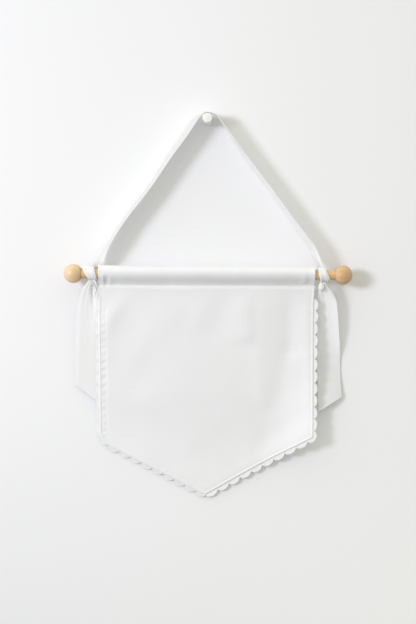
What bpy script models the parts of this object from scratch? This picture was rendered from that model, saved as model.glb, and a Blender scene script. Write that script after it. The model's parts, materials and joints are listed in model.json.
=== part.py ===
"""A blank cotton pennant on a wooden rod, hung by a ribbon over a wall peg.

Metres, +Z up. The origin is the centre of the peg's back face, on the wall plane y = 0. +X is to the right and +Y into the wall, so the
object is at negative y, and a depth below is a distance in front of the wall.
"""

import math

import bmesh
import bpy
import numpy as np
from mathutils import Matrix, Vector

MM = 0.001
GAP = 0.35  # between pieces, mm

# The wood
ROD_CENTRE = (0.45, -18.5, -153.7)  # mm
ROD_TILT = 0.32  # degrees, the right end hangs lower
ROD_RADIUS = 5.0
BALL_SPAN = 266.4  # between the centres of the end balls
BALL_RADIUS = 9.5
HOLE_FLOOR = 1.5  # from a ball's centre to the floor of its blind hole, on the rod's side

# The peg
PEG_RADIUS = 4.85
PEG_LENGTH = 28.0

# The cotton panel
CLOTH = 1.1  # thickness
HEM = 1.6  # thickness of the folded and sewn border
HEM_WIDTH = 9.0
SEAM_BELOW_ROD = 11.1  # the line sewn across below the rod
HEM_BELOW_SEAM = 7.4  # the pocket's back layer ends this far below the line
POCKET_RADIUS = 6.6  # outer, round the rod
POCKET_LIFT = (1.8, 0.6)  # how far the fold stands above that radius, at the left and right end
PANEL_LEFT = ((-165.0, -107.9), (-215.0, -107.7), (-315.0, -107.3))  # height, x
PANEL_RIGHT = ((-165.0, 106.3), (-182.0, 105.0), (-280.0, 104.4), (-315.0, 103.9))
CORNER_LEFT = (-107.4, -322.3)
CORNER_RIGHT = (103.9, -314.3)
TIP = (-0.6, -371.7)
CORNER_ROUND = (11.0, 3.0, 2.5)  # radius at the left corner, the right corner and the tip

# The panel's front face: depth at six places across, a row for each height. It leans back to the wall, and its right side stays forward.
DEPTH_ACROSS = (-108.0, -60.0, 0.0, 50.0, 90.0, 106.0)
DEPTH_ROWS = (
    # height, depths
    (-165.0, (17.0, 17.0, 17.0, 17.0, 17.0, 17.0)),
    (-215.0, (12.5, 12.0, 12.0, 12.7, 15.0, 15.6)),
    (-265.0, (8.2, 7.5, 7.6, 10.2, 14.6, 15.6)),
    (-315.0, (5.2, 4.8, 5.3, 8.7, 14.2, 16.0)),
    (-372.0, (4.6, 4.3, 4.3, 8.2, 14.0, 16.0)),
)
# Soft folds that the cloth keeps from its sewing and folding.
FOLDS = (
    # x and height at one end, at the other, half width, height of the ridge
    (-78.0, -178.0, -99.0, -223.0, 8.0, 1.0),
    (-8.0, -174.0, -58.0, -223.0, 11.0, -0.9),
    (-38.0, -226.0, -58.0, -260.0, 13.0, 0.8),
    (26.0, -172.0, 27.0, -226.0, 9.0, 1.0),
    (62.0, -180.0, 66.0, -268.0, 14.0, -1.2),
    (90.0, -215.0, 88.0, -318.0, 10.0, 1.0),
)

# The scalloped trim
TRIM = 1.0  # thickness
TRIM_GAP = 0.75  # behind the hem
TRIM_INSIDE = 4.5  # behind the panel
TRIM_VALLEY = 1.7  # beyond the panel's edge
TRIM_BUMP = 5.0
TRIM_TOP = -178.2
TRIM_SIDES = (11.5, 9.5, 9.5, 11.5)  # scallops along the right, lower right, lower left and left edges
TRIM_STEPS = 6  # stations for each scallop

# The ribbon
RIBBON = 1.0  # thickness
WRAP_INNER = 5.4
WRAP_OUTER = 7.3
WRAP_WIDTH = 11.0
WRAP_SLANT = 0.30  # a wrap's shift along the rod for each mm of height
WRAP_X = (-116.6, 115.4)
KNOT_X = (-115.3, 113.4)
KNOT_RADII = (4.8, 5.4, 5.2)
KNOT_BELOW_ROD = 11.0
# The hanger, from the left knot over the peg to the right knot, on the ribbon's middle surface.
HANGER = (
    # x, height and depth of the edge by the wall, then of the front edge, then the height of its pleats
    (-118.0, -147.0, 14.5, -112.3, -147.0, 22.0, 0.7),
    (-108.9, -137.5, 8.5, -103.4, -139.3, 23.5, 0.7),
    (-103.7, -129.2, 4.5, -100.7, -131.8, 24.0, 0.3),
    (-91.5, -109.1, 2.4, -88.4, -111.9, 24.3, 0.0),
    (-57.5, -63.1, 1.9, -54.1, -65.7, 24.3, 0.0),
    (-37.6, -31.7, 1.8, -33.1, -35.0, 24.3, 0.0),
    (-22.4, -10.2, 1.8, -17.6, -13.6, 24.3, 0.0),
    (-15.4, -0.1, 1.8, -11.0, -3.7, 24.3, 0.0),
    (-9.9, 5.0, 1.8, -6.4, 2.7, 24.3, 0.0),
    (-4.2, 7.1, 1.8, -1.4, 6.3, 24.3, 0.0),
    (1.8, 7.1, 1.8, 4.6, 6.2, 24.3, 0.0),
    (7.4, 5.0, 1.8, 9.6, 2.9, 24.3, 0.0),
    (12.9, -0.1, 1.8, 14.2, -3.2, 24.3, 0.0),
    (17.4, -7.2, 1.8, 19.1, -9.9, 24.3, 0.0),
    (32.4, -31.2, 1.8, 35.6, -32.9, 24.3, 0.0),
    (52.4, -59.1, 1.8, 56.2, -60.0, 24.3, 0.0),
    (72.3, -86.1, 1.9, 76.2, -86.8, 24.3, 0.0),
    (92.3, -115.1, 2.4, 97.1, -114.6, 24.3, 0.0),
    (101.0, -127.6, 4.5, 106.2, -126.6, 24.0, 0.3),
    (104.4, -137.0, 9.0, 111.6, -137.2, 23.5, 0.7),
    (110.5, -148.2, 14.5, 116.5, -148.2, 22.0, 0.7),
)
TAIL_LEFT = (
    # x, height and depth of the left edge, then of the right edge, then the height of the pleats
    (-117.8, -164.5, 18.0, -113.0, -164.5, 18.0, 0.6),
    (-123.3, -168.4, 15.8, -112.0, -168.4, 15.8, 1.1),
    (-126.5, -175.5, 12.6, -113.0, -175.5, 11.4, 1.0),
    (-128.7, -184.0, 10.2, -111.2, -184.0, 8.4, 0.9),
    (-129.9, -199.0, 7.6, -108.9, -199.4, 6.2, 0.6),
    (-130.7, -218.9, 5.2, -107.9, -220.4, 4.8, 0.4),
    (-131.7, -238.9, 3.2, -107.9, -246.0, 3.0, 0.1),
    (-131.9, -262.9, 2.4, -107.9, -281.8, 2.2, 0.0),
)
TAIL_RIGHT = (
    (111.6, -165.8, 18.0, 116.6, -165.8, 18.0, 0.6),
    (111.2, -170.2, 15.6, 122.2, -170.0, 15.6, 1.2),
    (111.7, -176.4, 12.9, 126.3, -176.2, 13.3, 1.4),
    (111.3, -182.4, 11.2, 128.4, -182.1, 11.9, 1.3),
    (110.4, -191.4, 9.6, 129.5, -191.0, 10.3, 1.0),
    (109.4, -204.5, 7.8, 130.7, -203.9, 8.4, 0.7),
    (109.0, -220.6, 5.4, 131.4, -218.9, 5.9, 0.4),
    (108.7, -244.0, 2.6, 132.1, -238.9, 2.9, 0.2),
    (108.8, -268.0, 1.7, 132.2, -258.9, 1.7, 0.0),
    (110.2, -290.8, 2.5, 133.6, -275.8, 2.8, 0.0),
)
PLEATS = 1.5  # waves across the ribbon


def clear_scene():
    for obj in list(bpy.data.objects):
        bpy.data.objects.remove(obj, do_unlink=True)


def collection(name):
    made = bpy.data.collections.new(name)
    bpy.context.scene.collection.children.link(made)
    return made


def material(name, colour, roughness, metallic=0.0):
    made = bpy.data.materials.new(name)
    made.use_nodes = True
    shader = made.node_tree.nodes["Principled BSDF"]
    shader.inputs["Base Color"].default_value = (*colour, 1.0)
    shader.inputs["Roughness"].default_value = roughness
    shader.inputs["Metallic"].default_value = metallic
    return made


def new_object(name, mesh, where, finish):
    obj = bpy.data.objects.new(name, mesh)
    where.objects.link(obj)
    mesh.materials.append(finish)
    return obj


def sheet_mesh(name, rows):
    """An open surface through rows of points in mm, each row with as many points."""
    count = len(rows[0])
    points = [Vector(p) * MM for row in rows for p in row]
    faces = [
        (i * count + j, i * count + j + 1, (i + 1) * count + j + 1, (i + 1) * count + j)
        for i in range(len(rows) - 1)
        for j in range(count - 1)
    ]
    mesh = bpy.data.meshes.new(name)
    mesh.from_pydata(points, [], faces)
    mesh.update()
    return mesh


def hermite(at, values, x):
    """A smooth curve through a table's values, straight past its ends."""
    at, values = np.asarray(at, float), np.asarray(values, float)
    slopes = np.gradient(values, at, axis=0)
    i = int(np.clip(np.searchsorted(at, x) - 1, 0, len(at) - 2))
    h = at[i + 1] - at[i]
    t = min(max((x - at[i]) / h, 0.0), 1.0)
    near = values[i] * (1 + 2 * t) * (1 - t) ** 2 + slopes[i] * h * t * (1 - t) ** 2
    far = values[i + 1] * t * t * (3 - 2 * t) + slopes[i + 1] * h * t * t * (t - 1)
    return near + far


def through(rows, step):
    """Stations every step mm or so along a smooth curve through a table's rows."""
    rows = np.asarray(rows, float)
    middle = (rows[:, :3] + rows[:, 3:6]) / 2
    along = np.concatenate([[0], np.cumsum(np.linalg.norm(np.diff(middle, axis=0), axis=1))])
    count = round(along[-1] / step) + 1
    return [hermite(along, rows, s) for s in np.linspace(0, along[-1], count)]


def axis_height(x):
    return ROD_CENTRE[2] - (x - ROD_CENTRE[0]) * math.tan(math.radians(ROD_TILT))


def bottom_height(x):
    """The panel's bottom edge before its corners are rounded."""
    corner = CORNER_LEFT if x < TIP[0] else CORNER_RIGHT
    return TIP[1] + (corner[1] - TIP[1]) * (x - TIP[0]) / (corner[0] - TIP[0])


def side(table, z):
    heights = [-row[0] for row in table]
    return float(np.interp(-z, heights, [row[1] for row in table]))


def depth(x, z):
    """The panel's front face, as a distance from the wall."""
    x = min(max(x, DEPTH_ACROSS[0]), DEPTH_ACROSS[-1])
    rows = [float(hermite(DEPTH_ACROSS, row[1], x)) for row in DEPTH_ROWS]
    base = float(hermite([-row[0] for row in DEPTH_ROWS], rows, -max(min(z, -165.0), -372.0)))
    calm = min(max((-168.0 - z) / 20.0, 0.0), 1.0) * min(max((z + 372.0) / 30.0, 0.35), 1.0)
    for x0, z0, x1, z1, width, ridge in FOLDS:
        run = Vector((x1 - x0, z1 - z0))
        off = Vector((x - x0, z - z0))
        t = min(max(off.dot(run) / run.length_squared, 0.0), 1.0)
        base += calm * ridge * math.exp(-(((off - run * t).length / width) ** 2))
    return base


def rounding(corner, before, after, radius):
    """What moves points so that one sharp corner of the panel's outline becomes an arc."""
    corner = Vector(corner)
    a, b = (Vector(before) - corner).normalized(), (Vector(after) - corner).normalized()
    bisector = (a + b).normalized()
    centre = corner + bisector * radius / math.sqrt(1 - a.dot(bisector) ** 2)
    out_a = (a * a.dot(bisector) - bisector).normalized()
    out_b = (b * b.dot(bisector) - bisector).normalized()

    def move(point):
        off = point - centre
        if off.length < 1e-6:
            return point
        way = off.normalized()
        if way.dot(-bisector) <= out_a.dot(-bisector):
            return point
        return centre + off * max(way.dot(out_a), way.dot(out_b))

    return move


def make_panel(where, finish):
    """One strip of cloth: up the pocket's back, over the rod, down its front and on to the pointed bottom edge. Its outer face is
    modelled, and Solidify grows the cloth inwards from it."""
    top_left, top_right = (PANEL_LEFT[0][1], -165.0), (PANEL_RIGHT[0][1], -165.0)
    rounders = (
        rounding(CORNER_LEFT, top_left, TIP, CORNER_ROUND[0]),
        rounding(CORNER_RIGHT, top_right, TIP, CORNER_ROUND[1]),
        rounding(TIP, CORNER_LEFT, CORNER_RIGHT, CORNER_ROUND[2]),
    )
    half = np.array([0.0, 3.0, 9.0, *np.linspace(17.0, 106.8, 13)]) / 106.8 / 2
    across = np.concatenate([half, 1 - half[::-1][1:]])
    back_ends = (-HEM_BELOW_SEAM, -HEM_BELOW_SEAM / 2, 0.0)
    arc = [190, 165, 140, 115, 90, 65, 40, 15, -10, -32]
    down = np.concatenate([np.linspace(0, 0.93, 17), [0.972, 1.0]])
    rows, weights = [], []
    for below in back_ends:
        row = []
        for u in across:
            x = PANEL_LEFT[0][1] * (1 - u) + PANEL_RIGHT[0][1] * u
            z = axis_height(x) - SEAM_BELOW_ROD + below
            row.append((x, -(depth(x, z) - 2 * CLOTH - 0.4), z))
        rows.append(row)
        weights.append([CLOTH / HEM] * len(row))
    for angle in arc:
        row = []
        for u in across:
            x = PANEL_LEFT[0][1] * (1 - u) + PANEL_RIGHT[0][1] * u
            lift = POCKET_LIFT[0] * (1 - u) + POCKET_LIFT[1] * u
            a = math.radians(angle)
            r = POCKET_RADIUS + lift * max(math.sin(a), 0.0) ** 2
            row.append((x, ROD_CENTRE[1] - r * math.cos(a), axis_height(x) + r * math.sin(a)))
        rows.append(row)
        weights.append([CLOTH / HEM] * len(row))
    row = []
    for u in across:
        x = PANEL_LEFT[0][1] * (1 - u) + PANEL_RIGHT[0][1] * u
        row.append((x, ROD_CENTRE[1] - 3.4, axis_height(x) - 7.9))
    rows.append(row)
    weights.append([CLOTH / HEM] * len(row))
    for t in down:
        row, weight = [], []
        for u in across:
            x = PANEL_LEFT[0][1] * (1 - u) + PANEL_RIGHT[0][1] * u
            for _ in range(3):
                top = axis_height(x) - SEAM_BELOW_ROD
                z = top + t * (bottom_height(x) - top)
                x = side(PANEL_LEFT, z) * (1 - u) + side(PANEL_RIGHT, z) * u
            point = Vector((x, z))
            for rounder in rounders:
                point = rounder(point)
            row.append((point.x, -depth(point.x, point.y), point.y))
            border = min(u, 1 - u) * 213 < HEM_WIDTH + 0.5 or t > 0.94
            weight.append(1.0 if border and t > 0.1 else CLOTH / HEM)
        rows.append(row)
        weights.append(weight)
    mesh = sheet_mesh("panel", rows)
    panel = new_object("panel", mesh, where, finish)
    group = panel.vertex_groups.new(name="thickness")
    for index, weight in enumerate(w for row in weights for w in row):
        group.add([index], weight, "REPLACE")
    solid = panel.modifiers.new("Cloth", "SOLIDIFY")
    solid.thickness = HEM * MM
    solid.offset = 1.0
    solid.vertex_group = "thickness"
    solid.use_even_offset = True
    return panel


def outline_path():
    """The panel's outline from the top of the right side, round the bottom, to the top of the left side: (point, outward normal, how
    far along in scallops). Its corners are arcs, so that the trim behind them bends and doesn't fold."""
    turn = 5.6
    corners = [
        Vector((side(PANEL_RIGHT, TRIM_TOP), TRIM_TOP)),
        Vector(CORNER_RIGHT),
        Vector(TIP),
        Vector(CORNER_LEFT),
        Vector((side(PANEL_LEFT, TRIM_TOP), TRIM_TOP)),
    ]
    radii = [0, turn, turn, 2 * turn, 0]
    points = [corners[0]]
    marks = [0]
    for i in (1, 2, 3):
        a, b = (corners[i - 1] - corners[i]).normalized(), (corners[i + 1] - corners[i]).normalized()
        bisector = (a + b).normalized()
        lean = math.sqrt(1 - a.dot(bisector) ** 2)
        centre = corners[i] + bisector * radii[i] / lean
        start = corners[i] + a * radii[i] * a.dot(bisector) / lean
        end = corners[i] + b * radii[i] * b.dot(bisector) / lean
        steps = 10
        first, last = start - centre, end - centre
        for k in range(steps + 1):
            way = (first * (1 - k / steps) + last * (k / steps)).normalized()
            if k == steps // 2:
                marks.append(len(points))
            points.append(centre + way * radii[i])
    points.append(corners[4])
    marks.append(len(points) - 1)
    return points, marks


def resample_trim():
    points, marks = outline_path()
    lengths = np.concatenate([[0], np.cumsum([(q - p).length for p, q in zip(points, points[1:])])])
    xs, zs = [p.x for p in points], [p.y for p in points]
    stations, phase = [], 0.0
    for k, scallops in enumerate(TRIM_SIDES):
        start, end = lengths[marks[k]], lengths[marks[k + 1]]
        count = round(scallops * TRIM_STEPS)
        for i in range(count + (k == len(TRIM_SIDES) - 1)):
            stations.append((start + (end - start) * i / count, phase + scallops * i / count))
        phase += scallops
    found = []
    for s, at in stations:
        here = Vector((np.interp(s, lengths, xs), np.interp(s, lengths, zs)))
        ahead = Vector((np.interp(s + 1.2, lengths, xs), np.interp(s + 1.2, lengths, zs)))
        behind = Vector((np.interp(s - 1.2, lengths, xs), np.interp(s - 1.2, lengths, zs)))
        along = (ahead - behind).normalized()
        found.append((here, Vector((-along.y, along.x)), at))
    return found


def make_trim(where, finish):
    """A tape with a scalloped outer edge, behind the panel's hem."""
    rows = []
    for here, out, at in resample_trim():
        reach = TRIM_VALLEY + (TRIM_BUMP - TRIM_VALLEY) * math.sqrt(abs(math.sin(math.pi * at)))
        row = []
        for off in (-TRIM_INSIDE, reach):
            p = here + out * off
            edge = here + out * min(off, 0.0)
            row.append((p.x, -(depth(edge.x, edge.y) - HEM - TRIM_GAP), p.y))
        rows.append(row)
    trim = new_object("trim", sheet_mesh("trim", rows), where, finish)
    solid = trim.modifiers.new("Tape", "SOLIDIFY")
    solid.thickness = TRIM * MM
    solid.offset = 1.0
    return trim


def ribbon_rows(table, step, columns=7):
    """Rows across the ribbon, with its pleats where it is gathered."""
    stations = through(table, step)
    rows = []
    for i, station in enumerate(stations):
        near = stations[max(i - 1, 0)], stations[min(i + 1, len(stations) - 1)]
        ends = [Vector((s[0], -s[2], s[1])) for s in (station, *near)]
        far_ends = [Vector((s[3], -s[5], s[4])) for s in (station, *near)]
        along = (ends[2] + far_ends[2] - ends[1] - far_ends[1]).normalized()
        width = far_ends[0] - ends[0]
        normal = width.cross(along).normalized()
        row = []
        for j in range(columns):
            v = j / (columns - 1)
            wave = station[6] * math.cos(2 * math.pi * PLEATS * v)
            row.append(ends[0] + width * v + normal * wave)
        rows.append(row)
    return rows


def strip(name, table, step, where, finish):
    obj = new_object(name, sheet_mesh(name, ribbon_rows(table, step)), where, finish)
    solid = obj.modifiers.new("Ribbon", "SOLIDIFY")
    solid.thickness = RIBBON * MM
    solid.offset = 0.0
    return obj


def screw(obj, steps):
    turned = obj.modifiers.new("Turn", "SCREW")
    turned.angle = 2 * math.pi
    turned.steps = turned.render_steps = steps
    turned.axis = "Z"
    turned.use_merge_vertices = True
    turned.merge_threshold = 1e-5
    turned.use_smooth_shade = True


def profile(name, points, where, finish, steps, closed=False):
    """A turned shape from (radius, height) points in mm, down the outer side."""
    mesh = bpy.data.meshes.new(name)
    edges = [(i, i + 1) for i in range(len(points) - 1)]
    if closed:
        edges.append((len(points) - 1, 0))
    mesh.from_pydata([(r * MM, 0, z * MM) for r, z in points], edges, [])
    obj = new_object(name, mesh, where, finish)
    screw(obj, steps)
    return obj


def place(obj, centre, axis):
    """Puts an object's own Z along axis, with its origin at centre in mm."""
    turn = Vector((0, 0, 1)).rotation_difference(Vector(axis)).to_matrix().to_4x4()
    obj.matrix_world = Matrix.Translation(Vector(centre) * MM) @ turn


def rod_axis():
    a = math.radians(ROD_TILT)
    return Vector((math.cos(a), 0, -math.sin(a)))


def make_wood(where, finish):
    axis, centre = rod_axis(), Vector(ROD_CENTRE)
    length = BALL_SPAN - 2 * (HOLE_FLOOR + GAP)
    bpy.ops.mesh.primitive_cylinder_add(vertices=36, radius=ROD_RADIUS * MM, depth=length * MM)
    rod = bpy.context.object
    rod.name = "rod"
    for owner in list(rod.users_collection):
        owner.objects.unlink(rod)
    where.objects.link(rod)
    rod.data.materials.append(finish)
    rod.data.shade_smooth()
    rod.data.set_sharp_from_angle(angle=math.radians(40))
    rounded = rod.modifiers.new("Ends", "BEVEL")
    rounded.width = 0.6 * MM
    rounded.segments = 1
    rounded.limit_method = "ANGLE"
    rounded.angle_limit = math.radians(40)
    place(rod, centre, axis)
    hole = ROD_RADIUS + GAP
    mouth = -math.sqrt(BALL_RADIUS**2 - hole**2)
    first = math.acos(mouth / BALL_RADIUS)
    points = [(0.0, BALL_RADIUS)]
    for i in range(1, 12):
        a = first * i / 11
        points.append((BALL_RADIUS * math.sin(a), BALL_RADIUS * math.cos(a)))
    points += [(hole, -HOLE_FLOOR), (0.0, -HOLE_FLOOR)]
    for name, way in (("ball_left", -1), ("ball_right", 1)):
        ball = profile(name, points, where, finish, 28)
        place(ball, centre + axis * way * BALL_SPAN / 2, axis * way)


def make_peg(where, finish):
    points = [(0.0, PEG_LENGTH)]
    for i in range(1, 6):
        a = math.radians(i * 14)
        points.append((PEG_RADIUS * math.sin(a) * 0.96, PEG_LENGTH - 1.5 * (1 - math.cos(a))))
    points += [(PEG_RADIUS, PEG_LENGTH - 1.6), (PEG_RADIUS, 0.0), (0.0, 0.0)]
    peg = profile("peg", points, where, finish, 36)
    place(peg, (0, 0, 0), (0, -1, 0))


def make_wrap(name, x, where, finish):
    """A turn of ribbon round the rod, slanted along it."""
    half = WRAP_WIDTH / 2
    points = [
        (WRAP_OUTER - 0.5, half),
        (WRAP_OUTER, half - 1.4),
        (WRAP_OUTER, 1.2),
        (WRAP_OUTER - 0.35, 0.0),
        (WRAP_OUTER, -1.2),
        (WRAP_OUTER, 1.4 - half),
        (WRAP_OUTER - 0.5, -half),
        (WRAP_INNER, -half),
        (WRAP_INNER, half),
    ]
    count, mesh = 28, bmesh.new()
    for k in range(count):
        a = 2 * math.pi * k / count
        for r, along in points:
            z = r * math.sin(a)
            mesh.verts.new(
                Vector((x + along - WRAP_SLANT * z, ROD_CENTRE[1] + r * math.cos(a), axis_height(x + along) + z)) * MM
            )
    mesh.verts.ensure_lookup_table()
    n = len(points)
    for k in range(count):
        for i in range(n):
            a, b = k * n + i, k * n + (i + 1) % n
            c, d = ((k + 1) % count) * n + (i + 1) % n, ((k + 1) % count) * n + i
            mesh.faces.new([mesh.verts[v] for v in (a, b, c, d)])
    bmesh.ops.recalc_face_normals(mesh, faces=mesh.faces)
    data = bpy.data.meshes.new(name)
    mesh.to_mesh(data)
    mesh.free()
    return new_object(name, data, where, finish)


def make_knot(name, x, where, finish):
    mesh = bmesh.new()
    bmesh.ops.create_uvsphere(mesh, u_segments=14, v_segments=9, radius=1.0)
    shape = Matrix.Diagonal((*(r * MM for r in KNOT_RADII), 1.0))
    centre = Vector((x, ROD_CENTRE[1] + 0.8, axis_height(x) - KNOT_BELOW_ROD)) * MM
    bmesh.ops.transform(mesh, matrix=Matrix.Translation(centre) @ shape, verts=mesh.verts)
    data = bpy.data.meshes.new(name)
    mesh.to_mesh(data)
    mesh.free()
    return new_object(name, data, where, finish)


def make_ribbon(where, helpers, finish):
    ribbon = strip("ribbon", HANGER, 7.0, where, finish)
    joined = [
        make_wrap("wrap_left", WRAP_X[0], helpers, finish),
        make_wrap("wrap_right", WRAP_X[1], helpers, finish),
        make_knot("knot_left", KNOT_X[0], helpers, finish),
        make_knot("knot_right", KNOT_X[1], helpers, finish),
        strip("tail_left", TAIL_LEFT, 6.0, helpers, finish),
        strip("tail_right", TAIL_RIGHT, 6.0, helpers, finish),
    ]
    for other in joined:
        other.hide_render = True
        other.display_type = "WIRE"
        union = ribbon.modifiers.new(other.name, "BOOLEAN")
        union.operation = "UNION"
        union.solver = "EXACT"
        union.object = other
    return ribbon


def main():
    clear_scene()
    parts, helpers = collection("pennant_banner"), collection("helpers")
    cotton = material("cotton", (0.82, 0.82, 0.81), 0.85)
    tape = material("trim_tape", (0.84, 0.84, 0.83), 0.8)
    wood = material("wood", (0.78, 0.56, 0.34), 0.5)
    band = material("ribbon", (0.84, 0.84, 0.83), 0.7)
    paint = material("peg_paint", (0.86, 0.85, 0.82), 0.4)
    make_panel(parts, cotton)
    make_trim(parts, tape)
    make_wood(parts, wood)
    make_ribbon(parts, helpers, band)
    make_peg(parts, paint)


main()
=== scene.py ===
"""The looks of a blank cotton pennant on a wooden rod, hung by a ribbon over a wall peg.

Tables are in millimetres in the row frame: +X to the right, +Y into the wall, +Z up. A depth is a distance in front of the wall.
"""

import json
import math

import bpy
import numpy as np
from mathutils import Matrix, Vector

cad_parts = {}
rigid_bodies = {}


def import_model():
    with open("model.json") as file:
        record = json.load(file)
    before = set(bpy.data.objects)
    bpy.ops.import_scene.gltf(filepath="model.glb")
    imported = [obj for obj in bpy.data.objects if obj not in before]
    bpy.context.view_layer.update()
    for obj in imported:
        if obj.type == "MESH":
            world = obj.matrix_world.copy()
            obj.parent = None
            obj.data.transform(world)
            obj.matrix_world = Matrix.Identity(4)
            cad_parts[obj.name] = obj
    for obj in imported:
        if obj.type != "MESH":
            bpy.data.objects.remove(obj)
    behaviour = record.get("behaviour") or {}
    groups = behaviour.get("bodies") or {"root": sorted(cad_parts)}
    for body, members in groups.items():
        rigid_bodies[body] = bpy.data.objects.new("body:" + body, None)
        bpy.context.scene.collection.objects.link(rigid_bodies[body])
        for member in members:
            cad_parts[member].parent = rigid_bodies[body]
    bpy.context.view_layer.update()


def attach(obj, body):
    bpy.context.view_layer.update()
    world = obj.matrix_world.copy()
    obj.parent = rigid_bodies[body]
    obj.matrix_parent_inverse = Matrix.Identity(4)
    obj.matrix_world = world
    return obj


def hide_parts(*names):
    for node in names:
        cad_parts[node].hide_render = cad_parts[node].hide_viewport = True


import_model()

MM = 0.001

# ---------------------------------------------------------------- sizes

ROD_CENTRE = (0.45, -18.5, -153.7)
ROD_TILT = 0.32
ROD_RADIUS = 5.0
BALL_SPAN = 266.4
BALL_RADIUS = 9.5
HOLE_FLOOR = 1.5
GAP = 0.35
PEG_RADIUS = 4.85
PEG_LENGTH = 28.0

COTTON = 0.45  # thickness of the cloth
HEM = 0.75  # thickness of its turned and sewn border
HEM_WIDTH = 9.0
STITCH_IN = 2.9  # the sewn line's distance from the edge
STITCH = 2.6  # from one stitch to the next
SEAM_BELOW_ROD = 11.1
HEM_BELOW_SEAM = 7.4

PANEL_LEFT = ((-165.0, -107.9), (-215.0, -107.7), (-315.0, -107.3))  # height, x
PANEL_RIGHT = ((-165.0, 106.3), (-182.0, 105.0), (-280.0, 104.4), (-315.0, 103.9))
CORNER_LEFT = (-107.4, -319.1)
CORNER_RIGHT = (103.9, -315.0)
TIP = (-2.2, -373.0)
CORNER_ROUND = (17.0, 3.0, 2.5)
BOTTOM_BOW = 0.8

DEPTH_ACROSS = (-108.0, -60.0, 0.0, 38.0, 60.0, 76.0, 90.0, 106.0)
DEPTH_ROWS = (
    # height, the front face's depth at each place across
    (-165.0, (17.0, 17.0, 17.0, 17.0, 17.0, 17.0, 17.0, 17.0)),
    (-215.0, (12.9, 13.5, 13.7, 13.6, 13.9, 13.7, 14.2, 15.6)),
    (-265.0, (8.4, 9.7, 10.6, 10.5, 10.8, 10.7, 12.6, 16.4)),
    (-315.0, (3.3, 4.5, 5.4, 5.5, 6.3, 9.5, 14.2, 20.0)),
    (-372.0, (2.5, 2.5, 3.2, 4.6, 7.0, 10.5, 16.0, 21.5)),
)
# Soft ridges (+) and troughs (-) that the cloth keeps from its sewing and folding.
FOLDS = (
    # x and height at one end, at the other, half width, height of the ridge
    (-79.0, -169.0, -107.0, -211.0, 9.0, 1.01),
    (-95.0, -197.0, -99.0, -231.0, 7.0, 0.52),
    (-41.0, -183.0, -69.0, -231.0, 11.0, 0.39),
    (-61.0, -209.0, -81.0, -251.0, 11.0, 0.20),
    (-12.0, -215.0, -47.0, -253.0, 10.0, -0.06),
    (8.0, -231.0, -31.0, -277.0, 12.0, 0.03),
    (-2.0, -171.0, -12.0, -201.0, 10.0, 0.47),
    (39.0, -166.0, 39.0, -212.0, 9.0, 1.35),
    (38.0, -219.0, 18.0, -265.0, 10.0, 0.07),
    (18.0, -169.0, 8.0, -209.0, 9.0, -0.45),
    (54.0, -169.0, 54.0, -219.0, 8.0, 0.53),
    (82.0, -167.0, 82.0, -229.0, 9.0, -1.08),
    (80.0, -229.0, 68.0, -283.0, 10.0, -0.52),
    (68.0, -283.0, 38.0, -324.0, 12.0, -0.09),
    (98.0, -189.0, 100.0, -279.0, 6.0, 0.33),
    (50.0, -235.0, 54.0, -279.0, 8.0, 0.47),
    (28.0, -275.0, 8.0, -318.0, 12.0, 0.10),
    (-57.0, -279.0, -18.0, -318.0, 14.0, 0.71),
    (-95.0, -259.0, -89.0, -314.0, 8.0, 0.09),
    (92.0, -294.0, 54.0, -324.0, 10.0, -0.59),
    (30.0, -180.0, 27.0, -216.0, 7.0, 0.40),
    (-16.0, -174.0, -46.0, -216.0, 8.0, 0.30),
    (-22.0, -226.0, -60.0, -262.0, 8.0, -0.03),
    (66.0, -232.0, 68.0, -292.0, 7.0, 0.00),
    (88.0, -236.0, 86.0, -300.0, 7.0, 0.03),
)
# The pocket's outer section: towards the viewer and up, from the rod's axis.
POCKET = (
    (-5.0, -18.5),
    (-4.4, -14.5),
    (-3.4, -11.1),
    (-4.2, -8.0),
    (-5.8, -4.5),
    (-6.6, -0.5),
    (-6.3, 3.0),
    (-4.6, 6.0),
    (-1.8, 7.5),
    (0.8, 7.8),
    (3.4, 6.9),
    (5.4, 5.0),
    (6.4, 2.7),
    (6.4, 0.4),
    (5.6, -2.0),
    (4.0, -4.3),
    (2.1, -6.2),
    (0.3, -7.9),
    (-1.0, -9.5),
    (-1.8, -10.9),
    (-1.8, -12.0),
    (-1.4, -13.4),
)
# Puckers of the pocket's ends and seam, placed across and up from the rod's axis on the pocket's front.
PUCKERS = (
    # x and height at one end, at the other, half width, height
    (-103.4, -2.0, -103.0, -10.5, 2.0, 0.80),
    (-99.2, -5.0, -99.6, -10.5, 1.3, -0.35),
    (-108.0, -5.8, -100.8, -9.4, 0.9, -0.45),
    (-95.5, -4.0, -96.0, -10.0, 1.4, 0.25),
    (103.2, -6.6, 97.0, -8.8, 1.0, -0.28),
    (103.4, -9.4, 93.0, -10.3, 0.8, -0.3),
    (99.0, 3.0, 100.0, -5.0, 2.0, -0.15),
    (95.0, 0.0, 95.5, -6.0, 1.6, 0.15),
)

TRIM_BACK = 1.05  # its front face's distance behind the panel's front face
TRIM = 0.5
TRIM_INSIDE = 4.8
TRIM_VALLEY = 1.5
TRIM_BUMP = 5.0
TRIM_TOP = -178.2
TRIM_SIDES = (11.5, 9.5, 9.5, 11.5)

RIBBON = 0.32
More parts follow.
